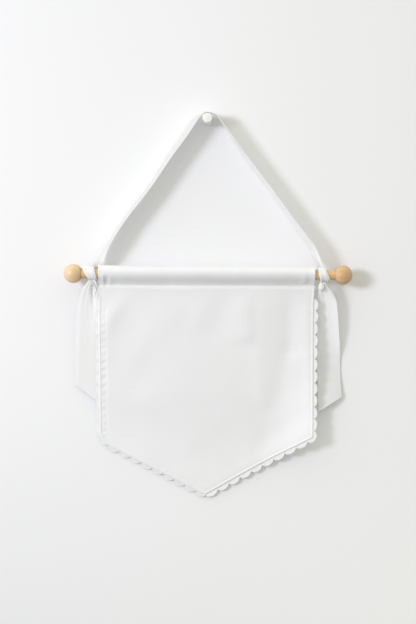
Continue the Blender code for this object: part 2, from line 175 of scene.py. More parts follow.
# The hanger, from the left knot over the peg to the right knot, on the ribbon's middle surface.
HANGER = (
    # x, height and depth of the edge by the wall, then of the front edge, then the height of its pleats
    (-119.5, -149.5, 14.5, -112.0, -150.6, 12.4, 0.4),
    (-116.5, -146.0, 12.5, -108.9, -147.0, 12.6, 0.5),
    (-111.6, -142.0, 9.5, -103.8, -143.4, 15.0, 0.5),
    (-108.0, -136.5, 7.0, -101.9, -138.0, 19.0, 0.4),
    (-103.7, -129.2, 4.8, -99.1, -130.4, 22.8, 0.3),
    (-97.3, -119.1, 3.0, -94.4, -122.0, 24.2, 0.1),
    (-91.5, -109.1, 2.4, -88.4, -111.9, 24.3, 0.0),
    (-57.5, -63.1, 1.9, -54.1, -65.7, 24.3, 0.0),
    (-37.6, -31.7, 1.8, -33.1, -35.0, 24.3, 0.0),
    (-22.4, -10.2, 1.8, -17.6, -13.6, 24.3, 0.0),
    (-15.4, -0.1, 1.8, -11.0, -3.7, 24.3, 0.0),
    (-9.9, 5.0, 1.8, -6.4, 2.7, 24.3, 0.0),
    (-4.2, 6.9, 1.8, -2.0, 6.0, 24.3, 0.0),
    (1.8, 6.9, 1.8, 3.4, 5.8, 24.3, 0.0),
    (7.4, 5.0, 1.8, 9.6, 2.9, 24.3, 0.0),
    (12.9, -0.1, 1.8, 14.2, -3.2, 24.3, 0.0),
    (17.4, -7.2, 1.8, 19.1, -9.9, 24.3, 0.0),
    (32.4, -31.2, 1.8, 35.6, -32.9, 24.3, 0.0),
    (52.4, -59.1, 1.8, 56.2, -60.0, 24.3, 0.0),
    (72.3, -86.1, 1.9, 76.2, -86.8, 24.3, 0.0),
    (92.3, -115.1, 2.4, 97.1, -114.6, 24.3, 0.0),
    (101.0, -127.6, 4.5, 106.2, -126.6, 24.0, 0.3),
    (104.0, -136.0, 8.5, 111.2, -136.4, 23.6, 0.7),
    (106.4, -141.5, 10.5, 113.8, -142.4, 22.3, 0.7),
    (109.5, -148.5, 13.5, 116.2, -148.5, 19.5, 0.5),
)
TAIL_LEFT = (
    # x, height and depth of the left edge, then of the right edge, then how far the ribbon stands towards the viewer at four places
    # across, then the crease's place across and its depth
    (-117.6, -159.4, 22.0, -110.8, -159.4, 21.5, 0.2, 0.2, 0.2, 0.2, 0.66, 0.6),
    (-120.4, -163.3, 19.0, -109.6, -163.5, 19.4, 0.3, 0.3, 0.2, 0.1, 0.66, 2.1),
    (-123.8, -167.2, 16.2, -108.7, -167.6, 17.8, 0.4, 0.3, 0.1, 0.0, 0.67, 3.0),
    (-127.2, -175.1, 12.4, -108.6, -175.6, 15.2, 0.4, 0.2, 0.0, 0.2, 0.72, 2.8),
    (-129.4, -184.0, 9.8, -108.3, -184.6, 12.6, 0.4, 0.2, -0.2, 0.5, 0.74, 1.2),
    (-130.7, -199.0, 7.0, -107.8, -200.0, 9.8, 0.4, 0.2, 0.0, 0.4, 0.74, 0.1),
    (-131.5, -219.1, 4.8, -107.8, -221.0, 6.8, 0.4, 0.2, 0.0, 0.2, 0.70, 0.0),
    (-132.3, -239.1, 3.2, -108.2, -246.0, 4.4, 0.3, 0.2, 0.0, 0.0, 0.70, 0.0),
    (-132.5, -262.9, 2.4, -108.4, -281.4, 3.2, 0.3, 0.1, 0.0, 0.0, 0.70, 0.0),
)
TAIL_RIGHT = (
    (112.5, -161.9, 20.5, 116.4, -161.7, 20.0, 0.1, 0.1, 0.1, 0.2, 0.50, 0.3),
    (111.1, -164.3, 17.6, 117.8, -164.0, 18.0, 0.2, 0.0, 0.2, 0.5, 0.48, 0.9),
    (110.4, -167.2, 14.6, 120.4, -166.8, 16.4, 0.3, 0.0, 0.3, 0.7, 0.46, 1.4),
    (109.6, -173.1, 11.2, 124.4, -172.6, 14.4, 0.4, -0.1, 0.3, 0.7, 0.44, 1.2),
    (109.2, -179.1, 8.2, 127.2, -178.8, 13.4, 0.2, -0.5, -0.4, 0.1, 0.42, 0.8),
    (108.9, -191.0, 5.2, 129.0, -190.6, 12.6, -0.2, -1.0, -1.6, -0.9, 0.40, 0.3),
    (108.5, -208.9, 3.2, 130.5, -208.6, 10.2, -0.2, -1.0, -1.9, -1.3, 0.40, 0.1),
    (108.6, -223.9, 2.4, 131.7, -223.6, 6.0, 0.0, -0.4, -0.9, -0.6, 0.40, 0.0),
    (108.7, -236.9, 2.2, 132.2, -236.4, 2.0, 0.0, 0.0, -0.1, 0.0, 0.40, 0.0),
    (109.2, -249.4, 3.2, 132.3, -247.6, 1.3, 0.1, 0.1, 0.1, 0.0, 0.40, 0.0),
    (109.6, -268.0, 5.6, 132.8, -261.6, 2.3, 0.1, 0.4, 0.5, 0.3, 0.40, 0.0),
    (110.4, -290.2, 9.6, 133.6, -275.8, 4.3, 0.2, 0.8, 0.9, 0.5, 0.40, 0.0),
)
# A small tuck of ribbon beside the left knot.
TUCK_LEFT = (
    (-114.6, -161.4, 21.6, -112.6, -160.6, 20.2, 0.0, 0.0, 0.0, 0.0, 0.5, 0.0),
    (-112.4, -164.6, 20.6, -110.6, -163.6, 18.6, 0.1, 0.1, 0.1, 0.1, 0.5, 0.0),
    (-110.4, -168.4, 18.6, -108.9, -167.4, 16.2, 0.1, 0.1, 0.1, 0.1, 0.5, 0.0),
    (-111.8, -173.0, 16.2, -109.8, -173.4, 13.8, 0.1, 0.1, 0.1, 0.1, 0.5, 0.0),
    (-112.8, -176.6, 13.8, -110.6, -177.4, 12.4, 0.0, 0.0, 0.0, 0.0, 0.5, 0.0),
)
WRAPS = (
    # x of the left edge at the rod's bottom, front and top, then of the right edge, then the seed
    (-117.2, -121.2, -124.2, -108.9, -110.7, -112.6, 44),
    (110.8, 109.8, 108.9, 121.6, 118.8, 116.0, 45),
)
KNOTS = (
    # x, distance below the rod's axis, depth behind it, then half its width, depth and height, and the seed
    (-114.2, 8.3, 1.4, 3.3, 3.0, 2.9, 46),
    (112.9, 11.3, 0.2, 4.0, 3.2, 4.9, 47),
)

# ---------------------------------------------------------------- curves and surfaces


def hermite(at, values, x):
    """A smooth curve through a table's values at each x, straight past its ends. values may hold a column for each x."""
    at, values, x = np.asarray(at, float), np.asarray(values, float), np.atleast_1d(np.asarray(x, float))
    own = values.ndim == 2 and values.shape[1] == len(x)
    slopes = np.gradient(values, at, axis=0)
    i = np.clip(np.searchsorted(at, x) - 1, 0, len(at) - 2)
    h = at[i + 1] - at[i]
    t = np.clip((x - at[i]) / h, 0.0, 1.0)
    pick = (lambda a, k: a[k, np.arange(len(x))]) if own else (lambda a, k: a[k])
    if values.ndim == 2 and not own:
        h, t = h[:, None], t[:, None]
    near = pick(values, i) * (1 + 2 * t) * (1 - t) ** 2 + pick(slopes, i) * h * t * (1 - t) ** 2
    far = pick(values, i + 1) * t * t * (3 - 2 * t) + pick(slopes, i + 1) * h * t * t * (t - 1)
    return near + far


def smooth(low, high, x):
    t = np.clip((np.asarray(x, float) - low) / (high - low), 0.0, 1.0)
    return t * t * (3 - 2 * t)


def noise(x, y, cell, seed):
    """Smooth noise from -1 to 1 with the given cell size."""
    rng = np.random.default_rng(seed)
    lattice = rng.uniform(-1, 1, (97, 89))
    x, y = np.asarray(x, float) / cell, np.asarray(y, float) / cell
    i, j = np.floor(x).astype(int), np.floor(y).astype(int)
    u, v = x - i, y - j
    u, v = u * u * u * (u * (6 * u - 15) + 10), v * v * v * (v * (6 * v - 15) + 10)
    at = lambda a, b: lattice[a % 97, b % 89]
    low = at(i, j) * (1 - u) + at(i + 1, j) * u
    high = at(i, j + 1) * (1 - u) + at(i + 1, j + 1) * u
    return low * (1 - v) + high * v


def axis_height(x):
    return ROD_CENTRE[2] - (x - ROD_CENTRE[0]) * math.tan(math.radians(ROD_TILT))


def side(table, z):
    return np.interp(-np.asarray(z, float), [-row[0] for row in table], [row[1] for row in table])


def bottom_height(x):
    x = np.asarray(x, float)
    left = TIP[1] + (CORNER_LEFT[1] - TIP[1]) * (x - TIP[0]) / (CORNER_LEFT[0] - TIP[0])
    right = TIP[1] + (CORNER_RIGHT[1] - TIP[1]) * (x - TIP[0]) / (CORNER_RIGHT[0] - TIP[0])
    along = np.clip((x - TIP[0]) / (CORNER_RIGHT[0] - TIP[0]), 0, 1)
    return np.where(x < TIP[0], left, right + BOTTOM_BOW * np.sin(math.pi * along) ** 2)


def ridges(x, z, table):
    """The sum of a table's soft ridges and troughs."""
    total = np.zeros(np.shape(x))
    for x0, z0, x1, z1, width, ridge in table:
        rx, rz = x1 - x0, z1 - z0
        t = np.clip(((x - x0) * rx + (z - z0) * rz) / (rx * rx + rz * rz), 0, 1)
        off = (x - x0 - rx * t) ** 2 + (z - z0 - rz * t) ** 2
        total += ridge * np.exp(-off / width**2)
    return total


def depth(x, z):
    """The panel's front face, as a distance from the wall."""
    x, z = np.asarray(x, float), np.asarray(z, float)
    shape = x.shape
    x, z = x.ravel(), z.ravel()
    xs = np.clip(x, DEPTH_ACROSS[0], DEPTH_ACROSS[-1])
    rows = np.array([hermite(DEPTH_ACROSS, row[1], xs) for row in DEPTH_ROWS])
    base = hermite([-row[0] for row in DEPTH_ROWS], rows, -np.clip(z, -372.0, -165.0))
    calm = np.clip((-168.0 - z) / 20.0, 0, 1) * np.clip((z + 372.0) / 30.0, 0.35, 1)
    base = base + calm * ridges(x, z, FOLDS)
    wander = 0.11 * noise(x + 300, z + 500, 34, 3) + 0.05 * noise(x + 300, z + 500, 15, 4)
    return (base + np.clip((-166.0 - z) / 14.0, 0, 1) * wander).reshape(shape)


def rounded(points, corner, before, after, radius):
    """Points with one sharp corner of the panel's outline made an arc."""
    corner, before, after = (np.array(p, float) for p in (corner, before, after))
    a, b = (before - corner) / np.linalg.norm(before - corner), (after - corner) / np.linalg.norm(after - corner)
    bisector = (a + b) / np.linalg.norm(a + b)
    centre = corner + bisector * radius / math.sqrt(1 - a.dot(bisector) ** 2)
    out_a = a * a.dot(bisector) - bisector
    out_b = b * b.dot(bisector) - bisector
    out_a, out_b = out_a / np.linalg.norm(out_a), out_b / np.linalg.norm(out_b)
    off = points - centre
    length = np.maximum(np.linalg.norm(off, axis=-1, keepdims=True), 1e-9)
    way = off / length
    inside = (way @ -bisector) <= out_a.dot(-bisector)
    moved = centre + off * np.maximum(way @ out_a, way @ out_b)[..., None]
    return np.where(inside[..., None], points, moved)


def round_corners(points):
    top_left, top_right = (PANEL_LEFT[0][1], -165.0), (PANEL_RIGHT[0][1], -165.0)
    points = rounded(points, CORNER_LEFT, top_left, TIP, CORNER_ROUND[0])
    points = rounded(points, CORNER_RIGHT, top_right, TIP, CORNER_ROUND[1])
    return rounded(points, TIP, CORNER_LEFT, CORNER_RIGHT, CORNER_ROUND[2])


def grid_normals(points):
    """Unit normals of a grid of points."""
    down = np.gradient(points, axis=0)
    across = np.gradient(points, axis=1)
    normal = np.cross(down, across)
    return normal / np.maximum(np.linalg.norm(normal, axis=2, keepdims=True), 1e-12)


def spans(points, axis):
    """Distances along a grid's lines, from its first row or column."""
    steps = np.linalg.norm(np.diff(points, axis=axis), axis=2)
    zero = np.zeros_like(np.take(steps, [0], axis=axis))
    return np.concatenate([zero, np.cumsum(steps, axis=axis)], axis=axis)


def grid_faces(n, m, first=0, flipped=False, round_it=False):
    """Quads of an n by m grid; round_it joins the last row to the first."""
    i, j = np.meshgrid(np.arange(n if round_it else n - 1), np.arange(m - 1), indexing="ij")
    k = (i + 1) % n
    quads = np.stack([i * m + j, i * m + j + 1, k * m + j + 1, k * m + j], axis=-1).reshape(-1, 4) + first
    return quads[:, ::-1] if flipped else quads


def make_mesh(name, vertices, faces, uv=None, sharp=50):
    """A mesh object from points in mm. uv holds a place in mm on the flat cloth for each vertex."""
    mesh = bpy.data.meshes.new(name)
    mesh.vertices.add(len(vertices))
    mesh.vertices.foreach_set("co", (np.asarray(vertices, float) * MM).astype(np.float32).ravel())
    faces = np.asarray(faces, int)
    mesh.loops.add(faces.size)
    mesh.loops.foreach_set("vertex_index", faces.ravel().astype(np.int32))
    mesh.polygons.add(len(faces))
    mesh.polygons.foreach_set("loop_start", (np.arange(len(faces)) * faces.shape[1]).astype(np.int32))
    mesh.update(calc_edges=True)
    if uv is not None:
        layer = mesh.uv_layers.new(name="flat")
        flat = np.asarray(uv, float)[faces.ravel()] * MM
        layer.data.foreach_set("uv", flat.astype(np.float32).ravel())
    mesh.validate()
    mesh.shade_smooth()
    if sharp:
        mesh.set_sharp_from_angle(angle=math.radians(sharp))
    obj = bpy.data.objects.new(name, mesh)
    bpy.context.scene.collection.objects.link(obj)
    return obj


def slab_parts(points, front, back, normals=None):
    """The vertices, faces and flat places of a closed slab round a grid of points: front outwards along its normals, back inwards."""
    n, m = points.shape[:2]
    normals = grid_normals(points) if normals is None else normals
    front = np.broadcast_to(front, (n, m))[..., None]
    back = np.broadcast_to(back, (n, m))[..., None]
    outer, inner = points + normals * front, points - normals * back
    vertices = np.concatenate([outer.reshape(-1, 3), inner.reshape(-1, 3)])
    total = n * m
    loop = np.concatenate(
        [np.arange(m), np.arange(1, n) * m + m - 1, (n - 1) * m + np.arange(m - 2, -1, -1), np.arange(n - 2, 0, -1) * m]
    )
    following = np.roll(loop, -1)
    rim = np.stack([loop, loop + total, following + total, following], axis=-1)
    faces = np.concatenate([grid_faces(n, m, 0, True), grid_faces(n, m, total, False), rim])
    flat = np.stack([spans(points, 1), spans(points, 0)], axis=-1).reshape(-1, 2)
    return vertices, faces, np.concatenate([flat, flat])


def joined(parts):
    """Several (vertices, faces, flat places) as one."""
    vertices, faces, flat, count = [], [], [], 0
    for v, f, uv in parts:
        vertices.append(v)
        faces.append(np.asarray(f) + count)
        flat.append(uv)
        count += len(v)
    return np.concatenate(vertices), np.concatenate(faces), np.concatenate(flat)


def finish_piece(obj, material, replaces=()):
    obj.data.materials.clear()
    obj.data.materials.append(material)
    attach(obj, "root")
    if replaces:
        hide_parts(*replaces)
    return obj


# ---------------------------------------------------------------- materials


class Nodes:
    """A short way to write a material's nodes."""

    def __init__(self, name):
        self.material = bpy.data.materials.new(name)
        self.material.use_nodes = True
        self.tree = self.material.node_tree
        self.shader = self.tree.nodes["Principled BSDF"]

    def node(self, kind, inputs=(), **settings):
        made = self.tree.nodes.new(kind)
        for key, value in settings.items():
            setattr(made, key, value)
        for key, value in dict(inputs).items():
            if isinstance(value, bpy.types.NodeSocket):
                self.tree.links.new(value, made.inputs[key])
            else:
                made.inputs[key].default_value = value
        return made

    def math(self, operation, a, b=0.0, clamp=False):
        return self.node("ShaderNodeMath", {0: a, 1: b}, operation=operation, use_clamp=clamp).outputs[0]

    def add(self, first, *more):
        for value in more:
            first = self.math("ADD", first, value)
        return first

    def times(self, a, b):
        return self.math("MULTIPLY", a, b)

    def split(self, vector):
        return self.node("ShaderNodeSeparateXYZ", {0: vector}).outputs

    def join(self, x, y, z):
        return self.node("ShaderNodeCombineXYZ", {0: x, 1: y, 2: z}).outputs[0]

    def noise(self, vector, scale, detail=2.0, rough=0.5):
        made = self.node("ShaderNodeTexNoise", {"Vector": vector, "Scale": scale, "Detail": detail, "Roughness": rough})
        return made.outputs["Fac"]

    def range(self, value, a, b, c, d):
        return self.node(
            "ShaderNodeMapRange", {"Value": value, "From Min": a, "From Max": b, "To Min": c, "To Max": d}
        ).outputs["Result"]

    def mix(self, factor, a, b):
        made = self.node("ShaderNodeMix", data_type="RGBA")
        for key, value in (("Factor", factor), ("A", a), ("B", b)):
            socket = next(s for s in made.inputs if s.name == key and s.type == ("VALUE" if key == "Factor" else "RGBA"))
            if isinstance(value, bpy.types.NodeSocket):
                self.tree.links.new(value, socket)
            else:
                socket.default_value = value if key == "Factor" else (*value, 1.0)
        return next(s for s in made.outputs if s.type == "RGBA")

    def bump(self, height, distance, strength=1.0):
        made = self.node("ShaderNodeBump", {"Height": height, "Distance": distance, "Strength": strength})
        self.tree.links.new(made.outputs["Normal"], self.shader.inputs["Normal"])

    def surface(self, **values):
        for key, value in values.items():
            socket = self.shader.inputs[key.replace("_", " ")]
            if isinstance(value, bpy.types.NodeSocket):
                self.tree.links.new(value, socket)
            elif isinstance(value, tuple):
                socket.default_value = (*value, 1.0)
            else:
                socket.default_value = value


def woven(name, pale, shade, threads, bump, roughness, sheen, slub=0.35, warp=1.0, gloss=0.25):
    """Plain weave on the cloth's own flat places. threads is how many cross a metre."""
    n = Nodes(name)
    flat = n.node("ShaderNodeUVMap", uv_map="flat").outputs[0]
    u, v, _ = n.split(flat)
    wobble = n.noise(flat, 220, 2)
    turn = 2 * math.pi * threads / 2
    u_at = n.add(n.times(u, turn), n.times(wobble, 1.4))
    v_at = n.add(n.times(v, turn * warp), n.times(wobble, 1.4))
    a, b = n.math("SINE", u_at), n.math("SINE", v_at)
    over = n.times(a, b)  # which thread is on top
    thread_u = n.math("ABSOLUTE", n.math("COSINE", u_at))
    thread_v = n.math("ABSOLUTE", n.math("COSINE", v_at))
    weave = n.add(n.times(thread_u, 0.25), n.times(thread_v, 0.25), n.times(over, 0.35))
    # Threads are thicker and thinner along their length.
    along_u = n.noise(n.join(n.times(u, 60.0), n.times(v, 1500.0), 0.0), 1.0, 2)
    along_v = n.noise(n.join(n.times(u, 1500.0), n.times(v, 60.0), 3.0), 1.0, 2)
    slubs = n.times(n.add(along_u, along_v, -1.0), slub * 2)
    height = n.add(weave, slubs)
    cloud = n.noise(flat, 26, 3)
    # Colour: the cloud is the cloth's own uneven tone and the slubs its thicker threads; the weave term is painted
    # shade, darker between the threads and lighter on their crowns.
    tone = n.add(n.times(cloud, 0.45), n.times(n.range(weave, -0.35, 0.85, 0.0, 1.0), 0.35), n.times(slubs, 0.25))
    n.surface(
        Base_Color=n.mix(n.range(tone, 0.15, 0.65, 0.0, 1.0), shade, pale),
        Roughness=n.range(weave, -0.3, 0.8, roughness + 0.05, roughness - 0.04),
        Sheen_Weight=sheen,
        Sheen_Roughness=0.5,
        Specular_IOR_Level=gloss,
    )
    n.bump(height, bump, 0.6)
    return n.material


def wood(name, pale, mid, dark, axis, grain=1.0, wax=0.12):
    """Fine-grained beech with its grain along the object's axis."""
    n = Nodes(name)
    place = n.node("ShaderNodeTexCoord").outputs["Object"]
    x, y, z = n.split(place)
    parts = [x, y, z]
    long = [n.times(p, 9.0 if i == axis else 130.0) for i, p in enumerate(parts)]
    stretched = n.join(*long)
    figure = n.noise(stretched, 1.6 * grain, 3, 0.55)
    fine = [n.times(p, 60.0 if i == axis else 900.0) for i, p in enumerate(parts)]
    pores = n.noise(n.join(*fine), 2.2, 3, 0.6)
    warp = n.noise(place, 60, 2)
    rings = n.math("SINE", n.add(n.times(parts[(axis + 1) % 3], 2200.0 * grain), n.times(figure, 5.5), n.times(warp, 2.5)))
    band = n.range(rings, -1.0, 1.0, 0.0, 1.0)
    tone = n.add(n.times(figure, 0.55), n.times(band, 0.28), n.times(pores, 0.22))
    flecks = n.range(pores, 0.60, 0.74, 0.0, 0.55)
    base = n.mix(n.range(tone, 0.3, 0.78, 0.0, 1.0), mid, pale)
    n.surface(
        Base_Color=n.mix(flecks, base, dark),
        Roughness=n.range(pores, 0.3, 0.75, 0.40, 0.56),
        Specular_IOR_Level=0.42,
        Coat_Weight=wax,
        Coat_Roughness=0.38,
    )
    n.bump(n.add(n.times(pores, 0.7), n.times(band, 0.3)), 0.00010, 0.5)
    return n.material


def paint(name, colour, worn):
    n = Nodes(name)
    place = n.node("ShaderNodeTexCoord").outputs["Object"]
    orange_peel = n.noise(place, 900, 2)
    marks = n.noise(place, 260, 4, 0.65)
    n.surface(
        Base_Color=n.mix(n.range(marks, 0.52, 0.78, 0.0, 0.7), colour, worn),
        Roughness=n.range(marks, 0.35, 0.7, 0.30, 0.42),
        Specular_IOR_Level=0.5,
    )
    n.bump(orange_peel, 0.00006, 0.5)
    return n.material


def thread_finish(name, colour):
    n = Nodes(name)
    place = n.node("ShaderNodeTexCoord").outputs["Object"]
    x, _, z = n.split(place)
    ply = n.math("SINE", n.times(n.add(x, z), 9000.0))
    n.surface(
        # Painted shade: the thread's colour is a little darker in the grooves between its plies, following the same
        # wave as its bump.
        Base_Color=n.mix(n.range(ply, -1.0, 1.0, 0.0, 1.0), tuple(c * 0.93 for c in colour), colour),
        Roughness=n.range(ply, -1.0, 1.0, 0.5, 0.62),
        Sheen_Weight=0.1,
    )
    n.bump(ply, 0.00004, 0.5)
    return n.material


# ---------------------------------------------------------------- the camera, the light, the wall and the floor


def make_camera():
    data = bpy.data.cameras.new("camera")
    data.sensor_width = 36.0
    data.lens = 36.0 * 1.6 / 0.624
    data.clip_start, data.clip_end = 0.01, 50.0
    obj = bpy.data.objects.new("camera", data)
    bpy.context.scene.collection.objects.link(obj)
    obj.location = (0.0004, -1.6, -0.191)
    obj.rotation_euler = (math.radians(90), 0, 0)
    bpy.context.scene.camera = obj


KEY_AWAY = 1.85
KEY_WAY = (-0.665, -0.735, 0.16)
KEY_POWER = 16.2
THROUGH_RIBBON = 1.15
THROUGH = 0.31  # the share of it that comes through the thin cloth
KEY_COLOUR = (0.985, 1.0, 1.185)
FILL = 0.640  # the studio's own light at eye height, how much it grows upwards, and towards the left
FILL_UP = 0.5
FILL_LEFT = 0.15
FILL_TINT = (1.0, 0.994, 0.885)


def make_light():
    scene = bpy.context.scene
    scene.view_settings.view_transform = "Standard"
    world = bpy.data.worlds.new("studio")
    scene.world = world
    world.use_nodes = True
    tree = world.node_tree
    background = tree.nodes["Background"]
    place = tree.nodes.new("ShaderNodeTexCoord")
    slope = tree.nodes.new("ShaderNodeVectorMath")
    slope.operation = "DOT_PRODUCT"
    slope.inputs[1].default_value = (-FILL_LEFT, 0.0, FILL_UP)
    level = tree.nodes.new("ShaderNodeMath")
    level.inputs[1].default_value = FILL
    tree.links.new(place.outputs["Generated"], slope.inputs[0])
    tree.links.new(slope.outputs["Value"], level.inputs[0])
    tree.links.new(level.outputs[0], background.inputs["Strength"])
    background.inputs["Color"].default_value = (*FILL_TINT, 1.0)
    way = Vector(KEY_WAY).normalized()
    for name, share in (("key", 1 - THROUGH), ("key_through_cloth", THROUGH)):
        key = bpy.data.lights.new(name, "AREA")
        key.shape = "DISK"
        key.size = 0.25 * KEY_AWAY
        key.energy = KEY_POWER * share
        key.color = KEY_COLOUR
        obj = bpy.data.objects.new(name, key)
        scene.collection.objects.link(obj)
        obj.location = Vector((0.0, 0.0, -0.19)) + way * KEY_AWAY
        obj.rotation_euler = way.to_track_quat("Z", "Y").to_euler()


def let_through(names, ribbon):
    """Only the named solid pieces stop the key light's second share: the rest is thin cloth, which it comes through. The ribbon is
    also lit faintly from within."""
    blockers = bpy.data.collections.new("solid_pieces")
    for name in names:
        blockers.objects.link(bpy.data.objects[name])
    through = bpy.data.objects["key_through_cloth"]
    through.light_linking.blocker_collection = blockers
    past = bpy.data.collections.new("all_but_the_ribbon")
    past.objects.link(ribbon)
    past.collection_objects[0].light_linking.link_state = "EXCLUDE"
    through.light_linking.receiver_collection = past
    glow = bpy.data.lights.new("through_ribbon", "SUN")
    glow.energy = THROUGH_RIBBON
    glow.angle = 0.8
    glow.color = (1.0, 1.0, 1.03)
    obj = bpy.data.objects.new("through_ribbon", glow)
    bpy.context.scene.collection.objects.link(obj)
    obj.rotation_euler = Vector((-0.22, -0.60, -0.77)).to_track_quat("Z", "Y").to_euler()
    thin = bpy.data.collections.new("thin_ribbon")
    thin.objects.link(ribbon)
    obj.light_linking.receiver_collection = thin
    dowel = bpy.data.collections.new("dowel_only")
    dowel.objects.link(bpy.data.objects[names[0]])
    obj.light_linking.blocker_collection = dowel


def make_stage():
    wall = bpy.data.meshes.new("wall")
    wall.from_pydata([(-4, 0.0003, -0.56), (4, 0.0003, -0.56), (4, 0.0003, 4), (-4, 0.0003, 4)], [], [(0, 1, 2, 3)])
    wall_obj = bpy.data.objects.new("wall", wall)
    n = Nodes("plaster_with_painted_light")
    place = n.node("ShaderNodeTexCoord").outputs["Object"]
    x, _, z = n.split(place)
    # Painted light and shade: the wall's colour changes across and down it, darkest at the lower left and lightest at
    # the lower right, standing in for how the studio light falls across the wall.
    low = n.range(z, -0.22, -0.56, 0.0, 1.0)
    across = n.range(x, -0.20, 0.20, 0.0, 1.0)
    upper = n.mix(across, (0.880, 0.880, 0.880), (0.903, 0.903, 0.903))
    lower = n.mix(across, (0.79, 0.792, 0.795), (0.925, 0.925, 0.925))
    n.surface(Base_Color=n.mix(low, upper, lower), Roughness=0.9, Specular_IOR_Level=0.2)
    n.bump(n.noise(place, 90, 3), 0.0003, 0.15)
    # Its back is clear, so that the object shows from behind too.
    clear = n.node("ShaderNodeBsdfTransparent")
    facing = n.node("ShaderNodeNewGeometry")
    mixed = n.node("ShaderNodeMixShader")
    output = next(x for x in n.tree.nodes if x.type == "OUTPUT_MATERIAL")
    n.tree.links.new(facing.outputs["Backfacing"], mixed.inputs[0])
    n.tree.links.new(n.shader.outputs[0], mixed.inputs[1])
    n.tree.links.new(clear.outputs[0], mixed.inputs[2])
    n.tree.links.new(mixed.outputs[0], output.inputs["Surface"])
    wall.materials.append(n.material)
    floor = bpy.data.meshes.new("floor")
    floor.from_pydata([(-4, -4, -0.56), (4, -4, -0.56), (4, 4, -0.56), (-4, 4, -0.56)], [], [(0, 1, 2, 3)])
    floor_obj = bpy.data.objects.new("floor", floor)
    m = Nodes("pale_floor")
    m.surface(Base_Color=(0.82, 0.82, 0.81), Roughness=0.85)
    m.bump(m.noise(m.node("ShaderNodeTexCoord").outputs["Object"], 60, 2), 0.0003, 0.1)
    floor.materials.append(m.material)
    floor_obj.visible_diffuse = False
    for obj in (wall_obj, floor_obj):
        bpy.context.scene.collection.objects.link(obj)


# ---------------------------------------------------------------- the panel


def outline():
    """The panel's edge from the top of its left side round the bottom to the top of its right side, a point every 0.5 mm, and the
    distance along it."""
    left = np.array([(float(side(PANEL_LEFT, z)), z) for z in np.linspace(-160.0, CORNER_LEFT[1], 400)])
    under = np.array([(x, float(bottom_height(x))) for x in np.linspace(CORNER_LEFT[0], TIP[0], 260)])
    over = np.array([(x, float(bottom_height(x))) for x in np.linspace(TIP[0], CORNER_RIGHT[0], 260)])
    right = np.array([(float(side(PANEL_RIGHT, z)), z) for z in np.linspace(CORNER_RIGHT[1], -160.0, 400)])
    line = round_corners(np.concatenate([left, under[1:], over[1:], right[1:]]))
    far = np.concatenate([[0], np.cumsum(np.linalg.norm(np.diff(line, axis=0), axis=1))])
    at = np.arange(0, far[-1], 0.5)
    return np.stack([np.interp(at, far, line[:, 0]), np.interp(at, far, line[:, 1])], axis=1), at


EDGE, EDGE_AT = outline()


def to_edge(x, z):
    """How far each point is from the panel's edge, and where along the edge."""
    shape = np.shape(x)
    points = np.stack([np.ravel(x), np.ravel(z)], axis=1)
    near, where = np.empty(len(points)), np.empty(len(points))
    for k in range(0, len(points), 2000):
        d = np.linalg.norm(points[k : k + 2000, None] - EDGE[None], axis=2)
        i = d.argmin(1)
        near[k : k + 2000], where[k : k + 2000] = d[np.arange(len(i)), i], EDGE_AT[i]
    return near.reshape(shape), where.reshape(shape)


def relief(e, s, x, z):
    """How far the hem, its sewn line and its puckers stand proud of the front face."""
    left = smooth(-98.0, -102.0, x) * smooth(-183.0, -190.0, z)
    low_left = smooth(146.0, 166.0, s) * smooth(282.0, 270.0, s)
    border = 0.04 * smooth(HEM_WIDTH + 1.6, HEM_WIDTH - 1.6, e) + 0.21 * (1 - 0.9 * low_left) * np.exp(-(((e - 0.95) / 0.62) ** 2))
    groove = -0.22 * (1 - 0.4 * low_left) * np.exp(-(((e - STITCH_IN) / 0.8) ** 2)) * (0.8 + 0.2 * np.cos(2 * math.pi * s / STITCH))
    wave = np.cos(2 * math.pi * (s / 7.5 + 0.25 * noise(s, 0 * s + 3, 23, 11)))
    uneven = 0.6 + 0.4 * noise(s, 0 * s + 9, 31, 12)
    pucker = (-0.08 - 0.85 * left) * uneven * np.exp(-(((e - 4.6) / 2.0) ** 2)) * (0.5 + 0.5 * wave) ** 1.5
    ripple = 0.10 * noise(s * 1.0, e * 0.35, 5.2, 13) * smooth(13.0, 6.0, e)
    crease = -0.30 * left * np.exp(-(((e - 1.9) / 0.6) ** 2)) - 0.34 * left * smooth(9.0, 6.5, e) * smooth(5.0, 6.8, e)
    edge = -(0.5 - np.sqrt(np.maximum(0.5**2 - np.clip(0.5 - e, 0, 0.5) ** 2, 0)))
    return border + groove + pucker + ripple + crease + edge


def front_depth(x, z):
    """The finished front face of the panel below its pocket."""
    e, s = to_edge(x, z)
    return depth(x, z) + relief(e, s, x, z)


def section(x, at):
    """The pocket's outer section, the same at every x: towards the viewer and up, from the rod's axis. at runs from 0
    to 1 along it. x is not used.
    """
    table = np.array(POCKET)
    far = np.concatenate([[0], np.cumsum(np.linalg.norm(np.diff(table, axis=0), axis=1))])
    return hermite(far / far[-1], table, at)


